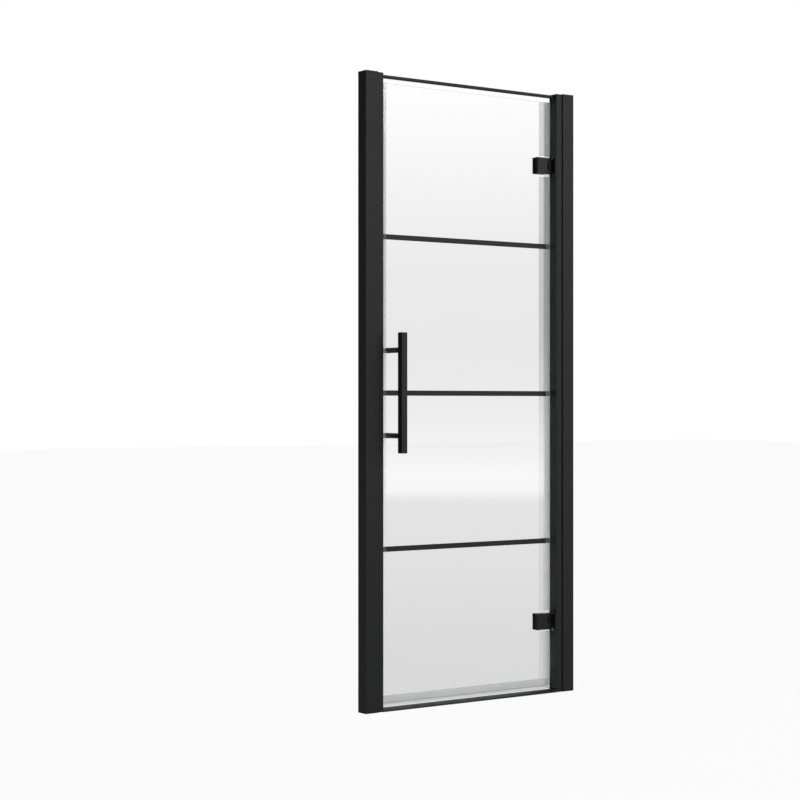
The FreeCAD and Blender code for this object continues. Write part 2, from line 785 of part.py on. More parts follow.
def handle_studs():
    """Studs from the standoffs through the glass into the inner caps."""
    y0 = glass_front - washer_thickness - stud_depth
    y1 = glass_back + washer_thickness + stud_in_cap
    return Part.makeCompound([rod_y(stud_r, y0, y1, handle_x, z) for z in standoff_heights])


def handle_inner_caps():
    """Cap nuts on the shower side of the glass."""
    y0 = glass_back + washer_thickness
    y1 = y0 + inner_cap_length
    caps = []
    for z in standoff_heights:
        cap = rod_y(inner_cap_r, y0, y1, handle_x, z)
        rims = [edge for edge in cap.Edges if edge.BoundBox.YMin > y1 - seat_clearance]
        cap = cap.makeFillet(inner_cap_edge_r, rims)
        bore = rod_y(stud_r + thread_clearance, y0 - past, y0 + stud_in_cap + past, handle_x, z)
        caps.append(cap.cut(bore))
    return Part.makeCompound(caps)


def all_parts():
    """Every sub-part by name."""
    parts = {
        "left_wall_channel": wall_channel(-1),
        "right_wall_channel": wall_channel(1),
        "left_channel_cap": channel_cap(-1),
        "right_channel_cap": channel_cap(1),
        "left_jamb": jamb(-1),
        "right_jamb": jamb(1),
        "left_jamb_cap": jamb_cap(-1),
        "right_jamb_cap": jamb_cap(1),
        "left_adjuster_screws": adjuster_screws(-1),
        "right_adjuster_screws": adjuster_screws(1),
        "left_adjuster_caps": adjuster_caps(-1),
        "right_adjuster_caps": adjuster_caps(1),
        "header_rail": header_rail(),
        "header_screws": rail_screws(header_screw_y, header_screw_z),
        "threshold_rail": threshold_rail(),
        "threshold_screws": rail_screws(threshold_screw_y, threshold_screw_z),
        "jamb_magnet_holder": jamb_magnet_holder(),
        "jamb_magnet_strip": jamb_magnet_strip(),
        "door_glass": door_glass(),
        "upper_bar": glass_bar(glass_middle + bar_spacing),
        "middle_bar": glass_bar(glass_middle),
        "lower_bar": glass_bar(glass_middle - bar_spacing),
        "strike_seal": strike_seal(),
        "strike_seal_magnet": strike_seal_magnet(),
        "bottom_seal": bottom_seal(),
        "handle_bar": handle_bar(),
        "handle_end_plugs": handle_end_plugs(),
        "handle_standoffs": handle_standoffs(),
        "handle_front_washers": handle_washers(standoff_collar_r, glass_front - washer_thickness),
        "handle_glass_sleeves": glass_sleeves(stud_r, [(handle_x, z) for z in standoff_heights]),
        "handle_studs": handle_studs(),
        "handle_inner_washers": handle_washers(inner_cap_r, glass_back),
        "handle_inner_caps": handle_inner_caps(),
    }
    for name, (z0, z1) in hinge_seal_spans().items():
        parts["hinge_seal_" + name] = hinge_seal(z0, z1)
    for name, z in hinge_heights.items():
        hinge = name + "_hinge_"
        screw_places = [(clamp_screw_x, screw_z) for screw_z in clamp_screw_heights(z)]
        parts[hinge + "front_block"] = hinge_front_block(z)
        parts[hinge + "front_gasket"] = hinge_gasket(block_back, glass_front, z)
        parts[hinge + "inner_gasket"] = hinge_gasket(glass_back, inner_gasket_back, z)
        parts[hinge + "inner_plate"] = hinge_inner_plate(z)
        parts[hinge + "clamp_screws"] = hinge_clamp_screws(z)
        parts[hinge + "glass_sleeves"] = glass_sleeves(clamp_screw_r, screw_places)
        parts[hinge + "pin"] = hinge_pin(z)
        parts[hinge + "bushes"] = hinge_bushes(z)
        parts[hinge + "jamb_plate"] = hinge_jamb_plate(z)
        parts[hinge + "plate_screws"] = hinge_plate_screws(z)
        parts[hinge + "backing_plate"] = hinge_backing_plate(z)
    return parts


os.makedirs("parts", exist_ok=True)
for node, shape in all_parts().items():
    shape.exportStep("parts/" + node + ".step")
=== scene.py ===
"""Looks of a black-framed glass shower door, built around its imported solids.

Lengths are metres in the door's own frame: X along the doorway from the strike side to the hinge
side, Y from the bathroom into the shower, Z up, and the origin on the threshold's underside.
"""
from __future__ import annotations

import logging
import math
from dataclasses import dataclass, field
from enum import Enum

import bpy
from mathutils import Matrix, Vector

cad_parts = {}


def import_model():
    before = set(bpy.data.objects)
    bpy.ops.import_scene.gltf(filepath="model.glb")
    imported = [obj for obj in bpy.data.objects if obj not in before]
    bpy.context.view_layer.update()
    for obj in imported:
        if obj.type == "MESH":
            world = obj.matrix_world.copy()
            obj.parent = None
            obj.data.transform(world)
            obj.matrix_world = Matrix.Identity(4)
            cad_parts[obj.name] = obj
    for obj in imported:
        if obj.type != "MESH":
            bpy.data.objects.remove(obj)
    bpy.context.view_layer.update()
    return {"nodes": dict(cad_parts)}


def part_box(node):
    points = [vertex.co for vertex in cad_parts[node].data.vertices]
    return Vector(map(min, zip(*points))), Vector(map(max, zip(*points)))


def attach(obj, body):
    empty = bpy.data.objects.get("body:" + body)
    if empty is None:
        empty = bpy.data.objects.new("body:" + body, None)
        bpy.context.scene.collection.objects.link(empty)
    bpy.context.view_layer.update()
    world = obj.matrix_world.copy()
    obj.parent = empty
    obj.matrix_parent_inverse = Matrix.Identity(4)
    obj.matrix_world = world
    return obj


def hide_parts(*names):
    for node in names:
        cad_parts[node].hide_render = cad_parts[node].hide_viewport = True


LOG = logging.getLogger("shower_door")
MM = 0.001
MERGE_DISTANCE = 2e-6
FLAT_ANGLE = math.radians(0.5)
SMOOTH_ANGLE = math.radians(32)
FACE_NORMAL = 0.99
SOFT_DETAIL = 1.0
PLAIN_DETAIL = 2.0
FINE_DETAIL = 3.0

Colour = tuple[float, float, float]
Stretch = tuple[float, float, float]
Point = tuple[float, float]


class Side(Enum):
    """Side of the doorway, as seen from the bathroom."""

    STRIKE = "left"
    HINGE = "right"


class Facing(Enum):
    """Direction that a face of the glass looks in."""

    FRONT = 0
    BACK = 1
    EDGE = 2


# ---------------------------------------------------------------------------------- mesh tools


def deselect_all() -> None:
    """Leave object mode's selection empty."""
    bpy.ops.object.select_all(action="DESELECT")


def make_active(piece: bpy.types.Object) -> None:
    """Select one piece alone and make it the active one.

    Args:
        piece: The piece to select.
    """
    deselect_all()
    piece.select_set(True)
    bpy.context.view_layer.objects.active = piece


def set_place(piece: bpy.types.Object) -> None:
    """Move a piece's place, turn and scale into its mesh."""
    make_active(piece)
    bpy.ops.object.transform_apply(location=True, rotation=True, scale=True)


def add_block(name: str, low: Vector, high: Vector) -> bpy.types.Object:
    """Add a block between two corners, as the start of a piece.

    Args:
        name: The piece's name.
        low: Lowest corner.
        high: Highest corner.

    Returns:
        The block, with its place in its mesh.
    """
    deselect_all()
    bpy.ops.mesh.primitive_cube_add(size=1.0, location=(low + high) / 2)
    piece = bpy.context.object
    piece.name = name
    piece.scale = high - low
    set_place(piece)
    return piece


def add_modifier(piece: bpy.types.Object, kind: str, **settings: object) -> None:
    """Add one modifier to a piece and apply it.

    Args:
        piece: The piece to change.
        kind: The modifier's type.
        **settings: Values for the modifier's own properties.
    """
    make_active(piece)
    bpy.ops.object.modifier_add(type=kind)
    modifier = piece.modifiers[-1]
    for key, value in settings.items():
        setattr(modifier, key, value)
    bpy.ops.object.modifier_apply(modifier=modifier.name)


def round_edges(piece: bpy.types.Object, radius: float, segments: int = 3, angle: float = 35.0) -> None:
    """Round every edge that turns by more than an angle.

    Args:
        piece: The piece to change.
        radius: Radius of the rounding.
        segments: Strips across each rounding.
        angle: Smallest turn that counts as an edge, in degrees.
    """
    add_modifier(piece, "BEVEL", width=radius, segments=segments, limit_method="ANGLE",
                 angle_limit=math.radians(angle), harden_normals=False)
    shade(piece)
    add_modifier(piece, "WEIGHTED_NORMAL", keep_sharp=True)


def shade(piece: bpy.types.Object) -> None:
    """Shade a piece smoothly across its shallow edges."""
    make_active(piece)
    bpy.ops.object.shade_smooth_by_angle(angle=SMOOTH_ANGLE)


def join_pieces(name: str, pieces: list[bpy.types.Object]) -> bpy.types.Object:
    """Join pieces into one object.

    Args:
        name: The joined piece's name.
        pieces: The pieces, of which the first one is kept.

    Returns:
        The joined piece.
    """
    deselect_all()
    for piece in pieces:
        piece.select_set(True)
    bpy.context.view_layer.objects.active = pieces[0]
    if len(pieces) > 1:
        bpy.ops.object.join()
    pieces[0].name = name
    return pieces[0]


def softened_copy(source: bpy.types.Object, name: str, radius: float) -> bpy.types.Object:
    """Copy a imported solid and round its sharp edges.

    Args:
        source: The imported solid's object.
        name: Name of the new piece.
        radius: Radius of the rounding.

    Returns:
        The new piece.
    """
    piece = source.copy()
    piece.data = source.data.copy()
    piece.name = name
    bpy.context.collection.objects.link(piece)
    piece.parent = None
    piece.matrix_world = source.matrix_world
    make_active(piece)
    if piece.data.has_custom_normals:
        bpy.ops.mesh.customdata_custom_splitnormals_clear()
    bpy.ops.object.mode_set(mode="EDIT")
    bpy.ops.mesh.select_all(action="SELECT")
    bpy.ops.mesh.remove_doubles(threshold=MERGE_DISTANCE)
    bpy.ops.mesh.dissolve_limited(angle_limit=FLAT_ANGLE)
    bpy.ops.object.mode_set(mode="OBJECT")
    round_edges(piece, radius, segments=2)
    return piece


def turned(name: str, start: Vector, along: str, steps: list[Point], sides: int = 48) -> bpy.types.Object:
    """Model a turned piece from a disc, by extruding and scaling its end face.

    Args:
        name: The piece's name.
        start: Centre of the first face.
        along: Axis that the piece runs along, "Y" or "Z".
        steps: Distance from the start and radius of each step, the first at distance 0.
        sides: Corners round the piece.

    Returns:
        The turned piece, closed at both ends.
    """
    deselect_all()
    first_radius = steps[0][1]
    turn = (-math.pi / 2, 0.0, 0.0) if along == "Y" else (0.0, 0.0, 0.0)
    bpy.ops.mesh.primitive_circle_add(vertices=sides, radius=first_radius, fill_type="NGON",
                                      location=start, rotation=turn)
    piece = bpy.context.object
    piece.name = name
    set_place(piece)
    direction = Vector((0, 1, 0)) if along == "Y" else Vector((0, 0, 1))
    bpy.ops.object.mode_set(mode="EDIT")
    bpy.ops.mesh.select_all(action="SELECT")
    distance, radius = steps[0]
    for next_distance, next_radius in steps[1:]:
        travel = direction * (next_distance - distance)
        bpy.ops.mesh.extrude_region_move(TRANSFORM_OT_translate={"value": travel})
        ratio = next_radius / radius
        scale = (ratio, 1.0, ratio) if along == "Y" else (ratio, ratio, 1.0)
        bpy.ops.transform.resize(value=scale, center_override=start + direction * next_distance)
        distance, radius = next_distance, next_radius
    bpy.ops.mesh.select_all(action="SELECT")
    bpy.ops.mesh.normals_make_consistent(inside=False)
    bpy.ops.object.mode_set(mode="OBJECT")
    shade(piece)
    return piece


def ribbon(name: str, path: list[Point], low: float, high: float, wall: float,
           lengthways: bool = False) -> bpy.types.Object:
    """Model a thin-walled extrusion by extruding one edge of a strip along a path.

    Args:
        name: The piece's name.
        path: Points of the wall's middle line, (x, y) on an upright or (y, z) on a lengthways one.
        low: Where the extrusion starts, in z or in x.
        high: Where it ends.
        wall: Thickness of the wall.
        lengthways: Whether it runs along X instead of up Z.

    Returns:
        The extrusion, closed all round.
    """
    def spot(point: Point, end: float) -> Vector:
        """Place of a path point at one end of the extrusion."""
        return Vector((end, *point)) if lengthways else Vector((*point, end))

    deselect_all()
    bpy.ops.mesh.primitive_plane_add(size=1.0)
    piece = bpy.context.object
    piece.name = name
    corners = [spot(path[0], low), spot(path[1], low), spot(path[0], high), spot(path[1], high)]
    for vertex, corner in zip(piece.data.vertices, corners):
        vertex.co = corner
    bpy.ops.object.mode_set(mode="EDIT")
    bpy.ops.mesh.select_mode(type="EDGE")
    for index in range(1, len(path) - 1):
        bpy.ops.mesh.select_all(action="DESELECT")
        bpy.ops.object.mode_set(mode="OBJECT")
        ends = (spot(path[index], low), spot(path[index], high))
        for edge in piece.data.edges:
            places = [piece.data.vertices[number].co for number in edge.vertices]
            edge.select = all(min((place - end).length for end in ends) < MERGE_DISTANCE for place in places)
        bpy.ops.object.mode_set(mode="EDIT")
        travel = spot(path[index + 1], low) - spot(path[index], low)
        bpy.ops.mesh.extrude_region_move(TRANSFORM_OT_translate={"value": travel})
    bpy.ops.mesh.select_all(action="SELECT")
    bpy.ops.mesh.normals_make_consistent(inside=False)
    bpy.ops.object.mode_set(mode="OBJECT")
    add_modifier(piece, "SOLIDIFY", thickness=wall, offset=0.0, use_even_offset=True)
    return piece


def arc(centre: Point, radius: float, start: float, end: float, steps: int = 6) -> list[Point]:
    """Points of an arc.

    Args:
        centre: Centre of the arc.
        radius: Radius of the arc.
        start: Angle of the first point, in degrees.
        end: Angle of the last point, in degrees.
        steps: Spans between the points.

    Returns:
        The points, in order.
    """
    angles = [math.radians(start + (end - start) * step / steps) for step in range(steps + 1)]
    return [(centre[0] + radius * math.cos(angle), centre[1] + radius * math.sin(angle)) for angle in angles]


# ---------------------------------------------------------------------------------- finishes


class Nodes:
    """Short hand for building one material's nodes."""

    noise_low = 0.3
    noise_high = 0.7

    def __init__(self, name: str) -> None:
        """Start a material with a Principled shader.

        Args:
            name: The material's name.
        """
        self.material = bpy.data.materials.new(name)
        self.material.use_nodes = True
        self.tree = self.material.node_tree
        self.shader = self.tree.nodes["Principled BSDF"]

    def add(self, kind: str, **values: object) -> bpy.types.Node:
        """Add a node and set its properties.

        Args:
            kind: The node's type name.
            **values: Values for the node's own properties.

        Returns:
            The new node.
        """
        node = self.tree.nodes.new(kind)
        for key, value in values.items():
            setattr(node, key, value)
        return node

    def link(self, source: bpy.types.NodeSocket, target: bpy.types.NodeSocket) -> None:
        """Join two sockets."""
        self.tree.links.new(source, target)

    def noise(self, scale: float, detail: float = PLAIN_DETAIL,
              stretch: Stretch = (1.0, 1.0, 1.0)) -> bpy.types.NodeSocket:
        """Add noise on Object coordinates.

        Args:
            scale: Bumps to the metre.
            detail: Octaves of the noise.
            stretch: Scale along each axis, for a grain.

        Returns:
            The noise's value.
        """
        place = self.add("ShaderNodeTexCoord")
        mapping = self.add("ShaderNodeMapping")
        mapping.inputs["Scale"].default_value = stretch
        noise = self.add("ShaderNodeTexNoise")
        noise.inputs["Scale"].default_value = scale
        noise.inputs["Detail"].default_value = detail
        self.link(place.outputs["Object"], mapping.inputs["Vector"])
        self.link(mapping.outputs["Vector"], noise.inputs["Vector"])
        return noise.outputs["Fac"]

    def gloss(self, noise: bpy.types.NodeSocket, roughness: float, changes: Point) -> None:
        """Vary the roughness by noise.

        Args:
            noise: The noise to follow.
            roughness: Middle roughness.
            changes: Changes to it near the noise's lowest and near its highest.
        """
        span = self.add("ShaderNodeMapRange")
        span.inputs["From Min"].default_value = self.noise_low
        span.inputs["From Max"].default_value = self.noise_high
        span.inputs["To Min"].default_value = roughness + changes[0]
        span.inputs["To Max"].default_value = roughness + changes[1]
        self.link(noise, span.inputs["Value"])
        self.link(span.outputs["Result"], self.shader.inputs["Roughness"])

    def paint(self, noise: bpy.types.NodeSocket, colour: Colour, change: float) -> None:
        """Colour the surface, lighter or darker where noise is high.

        Args:
            noise: The noise to follow.
            colour: Colour where it is 0.
            change: Brightness where it is 1, as a multiple of that colour.
        """
        mix = self.add("ShaderNodeMix", data_type="RGBA")
        mix.inputs["A"].default_value = (*colour, 1.0)
        mix.inputs["B"].default_value = (*(channel * change for channel in colour), 1.0)
        self.link(noise, mix.inputs["Factor"])
        self.link(mix.outputs["Result"], self.shader.inputs["Base Color"])

    def bump(self, noise: bpy.types.NodeSocket, strength: float, depth: float) -> None:
        """Raise the surface by noise.

        Args:
            noise: The height, 0 to 1.
            strength: Share of the bump that shows.
            depth: Height at 1, in metres.
        """
        bump = self.add("ShaderNodeBump")
        bump.inputs["Strength"].default_value = strength
        bump.inputs["Distance"].default_value = depth
        self.link(noise, bump.inputs["Height"])
        self.link(bump.outputs["Normal"], self.shader.inputs["Normal"])

    def see_through(self, share: float) -> None:
        """Let what is behind show through all but a share of the surface."""
        self.shader.inputs["Alpha"].default_value = share
        self.material.surface_render_method = "BLENDED"


@dataclass(frozen=True)
class PowderCoat:
    """Matt black powder coat: a fine orange peel with slightly uneven gloss."""

    name: str
    colour: Colour
    roughness: float
    peel_scale: float = 700.0
    peel_depth: float = 0.05 * MM
    peel_strength: float = 0.5
    cloud_scale: float = 9.0
    cloud_light: float = 1.25
    gloss_scale: float = 60.0
    gloss_changes: Point = (-0.04, 0.05)
    specular: float = 0.5

    def build(self) -> bpy.types.Material:
        """Build the material.

        Returns:
            The material, with peel, cloud and gloss noise.
        """
        nodes = Nodes(self.name)
        nodes.paint(nodes.noise(self.cloud_scale, FINE_DETAIL), self.colour, self.cloud_light)
        nodes.gloss(nodes.noise(self.gloss_scale), self.roughness, self.gloss_changes)
        nodes.shader.inputs["Specular IOR Level"].default_value = self.specular
        nodes.bump(nodes.noise(self.peel_scale, FINE_DETAIL), self.peel_strength, self.peel_depth)
        return nodes.material


@dataclass(frozen=True)
class MouldedPlastic:
    """Moulded plastic with a fine spark-eroded grain."""

    name: str
    colour: Colour
    roughness: float = 0.5
    grain_scale: float = 1600.0
    grain_depth: float = 0.03 * MM
    grain_strength: float = 0.4
    cloud_scale: float = 25.0
    cloud_light: float = 0.85
    gloss_scale: float = 180.0
    gloss_changes: Point = (-0.05, 0.05)

    def build(self) -> bpy.types.Material:
        """Build the material.

        Returns:
            The material, with grain, cloud and gloss noise.
        """
        nodes = Nodes(self.name)
        nodes.paint(nodes.noise(self.cloud_scale), self.colour, self.cloud_light)
        nodes.gloss(nodes.noise(self.gloss_scale), self.roughness, self.gloss_changes)
        nodes.bump(nodes.noise(self.grain_scale), self.grain_strength, self.grain_depth)
        return nodes.material


@dataclass(frozen=True)
class FixingSteel:
    """Stainless steel with fine turning marks."""

    name: str
    colour: Colour = (0.56, 0.56, 0.55)
    roughness: float = 0.28
    mark_scale: float = 2500.0
    mark_stretch: Stretch = (1.0, 1.0, 0.08)
    mark_depth: float = 0.01 * MM
    mark_strength: float = 0.15
    gloss_changes: Point = (-0.06, 0.08)
    cloud_scale: float = 120.0
    cloud_light: float = 0.9

    def build(self) -> bpy.types.Material:
        """Build the material.

        Returns:
            The material, with its turning marks.
        """
        nodes = Nodes(self.name)
        nodes.shader.inputs["Metallic"].default_value = 1.0
        nodes.paint(nodes.noise(self.cloud_scale), self.colour, self.cloud_light)
        marks = nodes.noise(self.mark_scale, stretch=self.mark_stretch)
        nodes.gloss(marks, self.roughness, self.gloss_changes)
        nodes.bump(marks, self.mark_strength, self.mark_depth)
        return nodes.material


@dataclass(frozen=True)
class GlassFace:
    """Face of a clear toughened leaf, which shows what is behind it and mirrors what is in front."""

    name: str
    mirror: float
    colour: Colour
    roughness: float = 0.0
    ripple_scale: float = 1.6
    ripple_light: float = 0.985

    def build(self) -> bpy.types.Material:
        """Build the material.

        Returns:
            The material: a mirror of which only a share shows.
        """
        nodes = Nodes(self.name)
        nodes.paint(nodes.noise(self.ripple_scale, SOFT_DETAIL), self.colour, self.ripple_light)
        nodes.shader.inputs["Metallic"].default_value = 1.0
        nodes.shader.inputs["Roughness"].default_value = self.roughness
        nodes.see_through(self.mirror)
        return nodes.material


@dataclass(frozen=True)
class GlassRim:
    """Polished rim of the leaf, faintly green."""

    name: str
    colour: Colour = (0.62, 0.78, 0.72)
    share: float = 0.25
    roughness: float = 0.08
    cloud_scale: float = 40.0
    cloud_light: float = 0.8

    def build(self) -> bpy.types.Material:
        """Build the material.

        Returns:
            The material.
        """
        nodes = Nodes(self.name)
        nodes.paint(nodes.noise(self.cloud_scale), self.colour, self.cloud_light)
        nodes.shader.inputs["Roughness"].default_value = self.roughness
        nodes.see_through(self.share)
        return nodes.material


@dataclass(frozen=True)
class ClearPlastic:
    """Clear flexible extrusion, slightly cloudy, with faint draw lines."""

    name: str
    body: float
    milk: float
    colour: Colour = (0.97, 0.98, 0.98)
    roughness: float = 0.10
    ior: float = 1.25
    line_scale: float = 900.0
    line_stretch: Stretch = (1.0, 1.0, 0.02)
    line_depth: float = 0.02 * MM
    line_strength: float = 0.1
    gloss_changes: Point = (-0.05, 0.06)
    cloud_scale: float = 14.0
    cloud_light: float = 0.96

    def build(self) -> bpy.types.Material:
        """Build the material.

        Returns:
            The material: a share of it is clear, and the rest is milky.
        """
        nodes = Nodes(self.name)
        nodes.paint(nodes.noise(self.cloud_scale), self.colour, self.cloud_light)
        lines = nodes.noise(self.line_scale, SOFT_DETAIL, self.line_stretch)
        nodes.gloss(lines, self.roughness, self.gloss_changes)
        nodes.shader.inputs["IOR"].default_value = self.ior
        nodes.shader.inputs["Transmission Weight"].default_value = 1.0 - self.milk
        nodes.shader.inputs["Alpha"].default_value = self.body
        nodes.bump(lines, self.line_strength, self.line_depth)
        return nodes.material


class Finish(Enum):
    """Finishes of the door's pieces, each with the record's slot that it stands for."""

    POST = (PowderCoat("post_powder_coat", (0.0095, 0.0097, 0.0100), 0.42), "black_aluminium")
    RAIL = (PowderCoat("rail_powder_coat", (0.0110, 0.0112, 0.0116), 0.40), "black_aluminium")
    BAR = (PowderCoat("bar_coat", (0.0120, 0.0123, 0.0123), 0.38, 900.0), "black_bar")
    HINGE = (PowderCoat("hinge_coat", (0.0075, 0.0077, 0.0080), 0.30, 1100.0), "black_hinge")
    # Painted shade: the pin's coat is near-black, darker than the hinge coat and less glossy, to stand in
    # for the deep shadow in the gap between the hinge block and the jamb plate.
    KNUCKLE = (
        PowderCoat("pin_painted_shade_coat", (0.0028, 0.0028, 0.0029), 0.5, 1100.0, specular=0.25), "black_hinge",
    )
    HANDLE = (PowderCoat("handle_coat", (0.0120, 0.0122, 0.0125), 0.33, 1100.0), "black_handle")
    CAP = (MouldedPlastic("cap_plastic", (0.0105, 0.0107, 0.0110), 0.45), "black_plastic")
    BLACK_SEAL = (MouldedPlastic("black_seal_plastic", (0.0110, 0.0110, 0.0113), 0.55), "black_seal")
    CLEAR_SEAL = (ClearPlastic("clear_seal_plastic", 1.0, 0.45), "clear_seal")
    CLEAR_EDGE = (ClearPlastic("clear_edge_plastic", 0.75, 0.25), "clear_seal")
    CLEAR_FILM = (ClearPlastic("clear_film_plastic", 0.5, 0.25), "clear_seal")
    STEEL = (FixingSteel("fixing_steel"), "screw_steel")
    NYLON = (MouldedPlastic("nylon", (0.008, 0.008, 0.008), 0.5), "nylon")
    GASKET = (MouldedPlastic("gasket_rubber", (0.008, 0.008, 0.008), 0.7), "gasket")
    MAGNET = (MouldedPlastic("magnet_rubber", (0.012, 0.012, 0.012), 0.6), "magnet")
    GLASS_FRONT = (GlassFace("glass_front_face", 0.34, (0.98, 0.98, 0.98)), "clear_glass")
    GLASS_BACK = (GlassFace("glass_back_face", 0.03, (0.95, 0.96, 0.96)), "clear_glass")
    GLASS_RIM = (GlassRim("glass_polished_rim"), "clear_glass")

    @property
    def material(self) -> bpy.types.Material:
        """Material of this finish, built on first use."""
        recipe = self.value[0]
        return bpy.data.materials.get(recipe.name) or recipe.build()

    @property
    def slot(self) -> str:
        """Slot in the record that this finish stands for."""
        return self.value[1]


def dress(piece: bpy.types.Object, *finishes: Finish) -> None:
    """Give a piece its finishes, one material slot each, in order.

    Args:
        piece: The piece to dress.
        *finishes: Finishes for the piece's material slots, in order.
    """
    piece.data.materials.clear()
    for finish in finishes:
        piece.data.materials.append(finish.material)


# ---------------------------------------------------------------------------------- the door


@dataclass
class Door:
    """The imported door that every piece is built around."""

    nodes: dict[str, bpy.types.Object]
    placed: list[str] = field(default_factory=list)

    def place(self, piece: bpy.types.Object, body: str, *replaced: str) -> None:
        """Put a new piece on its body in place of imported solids.

        Args:
            piece: The finished piece.
            body: The body that it moves with.
            *replaced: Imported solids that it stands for.
        """
        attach(piece, body)
        if replaced:
            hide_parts(*replaced)
        self.placed.append(piece.name)
        LOG.info("%s rides on %s", piece.name, body)

    def keep(self, node: str, finish: Finish) -> None:
        """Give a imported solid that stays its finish.

        Args:
            node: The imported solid.
            finish: Its finish.
        """
        for slot in self.nodes[node].material_slots:
            slot.material = finish.material
        LOG.info("%s keeps its solid", node)

    def soften(self, node: str, body: str, finish: Finish, radius: float) -> bpy.types.Object:
        """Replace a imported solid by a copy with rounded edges.

        Args:
            node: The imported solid.
            body: The body that it belongs to.
            finish: The copy's finish.
            radius: Radius of the rounding.

        Returns:
            The copy.
        """
        piece = softened_copy(self.nodes[node], node + "_finished", radius)
        dress(piece, finish)
        self.place(piece, body, node)
        return piece


@dataclass
class Posts:
    """Wall channels and jambs with their caps, screws and screw covers."""

    door: Door
    edge_radius: float = 0.35 * MM
    cap_radius: float = 0.6 * MM
    cover_radius: float = 0.5 * MM

    def build(self) -> None:
        """Build both posts."""
        for side, channel_body in ((Side.STRIKE, "left_channel"), (Side.HINGE, "right_channel")):
            name = side.value
            self.door.soften(name + "_wall_channel", channel_body, Finish.POST, self.edge_radius)
            self.door.soften(name + "_channel_cap", channel_body, Finish.CAP, self.cap_radius)
            self.door.soften(name + "_jamb", "frame", Finish.POST, self.edge_radius)
            self.door.soften(name + "_jamb_cap", "frame", Finish.CAP, self.cap_radius)
            self.door.soften(name + "_adjuster_caps", "frame", Finish.CAP, self.cover_radius)
            self.door.keep(name + "_adjuster_screws", Finish.STEEL)


@dataclass
class Rails:
    """Header and threshold with their screws."""

    door: Door
    edge_radius: float = 0.4 * MM

    def build(self) -> None:
        """Build both rails."""
        for rail in ("header", "threshold"):
            self.door.soften(rail + "_rail", "frame", Finish.RAIL, self.edge_radius)
            self.door.keep(rail + "_screws", Finish.STEEL)


@dataclass
class Leaf:
    """Toughened glass with its bonded bars."""

    door: Door
    arris: float = 0.8 * MM
    hole_sides: int = 48
    bar_radius: float = 0.45 * MM

    def build(self) -> None:
        """Build the glass and the bars."""
        self.build_glass()
        for name in ("upper", "middle", "lower"):
            self.build_bar(name + "_bar")

    def holes(self) -> list[tuple[float, float, float]]:
        """Find the holes in the glass from the sleeves that fill them.

        Returns:
            The x and z of each hole's centre, and its radius.
        """
        found = []
        for node in ("upper_hinge_glass_sleeves", "lower_hinge_glass_sleeves", "handle_glass_sleeves"):
            low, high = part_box(node)
            radius = (high.x - low.x) / 2
            for z in (low.z + radius, high.z - radius):
                found.append(((low.x + high.x) / 2, z, radius))
        return found

    def build_glass(self) -> None:
        """Cut the leaf from a block, drill it, grind its arrises and dress its faces."""
        low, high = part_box("door_glass")
        leaf = add_block("glass_leaf", low, high)
        round_edges(leaf, self.arris, segments=1)
        for x, z, radius in self.holes():
            drill = turned("drill", Vector((x, low.y - MM, z)), "Y",
                           [(0.0, radius), (high.y - low.y + 2 * MM, radius)], self.hole_sides)
            add_modifier(leaf, "BOOLEAN", operation="DIFFERENCE", object=drill, solver="EXACT")
            bpy.data.objects.remove(drill)
        dress(leaf, Finish.GLASS_FRONT, Finish.GLASS_BACK, Finish.GLASS_RIM)
        for polygon in leaf.data.polygons:
            facing = Facing.EDGE
            if polygon.normal.y < -FACE_NORMAL:
                facing = Facing.FRONT
            elif polygon.normal.y > FACE_NORMAL:
                facing = Facing.BACK
            polygon.material_index = facing.value
            polygon.use_smooth = False
        self.door.place(leaf, "door", "door_glass")

    def build_bar(self, node: str) -> None:
        """Model one bar with eased edges.

        Args:
            node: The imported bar.
        """
        low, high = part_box(node)
        bar = add_block(node + "_strip", low, high)
        round_edges(bar, self.bar_radius)
        dress(bar, Finish.BAR)
        self.door.place(bar, "door", node)


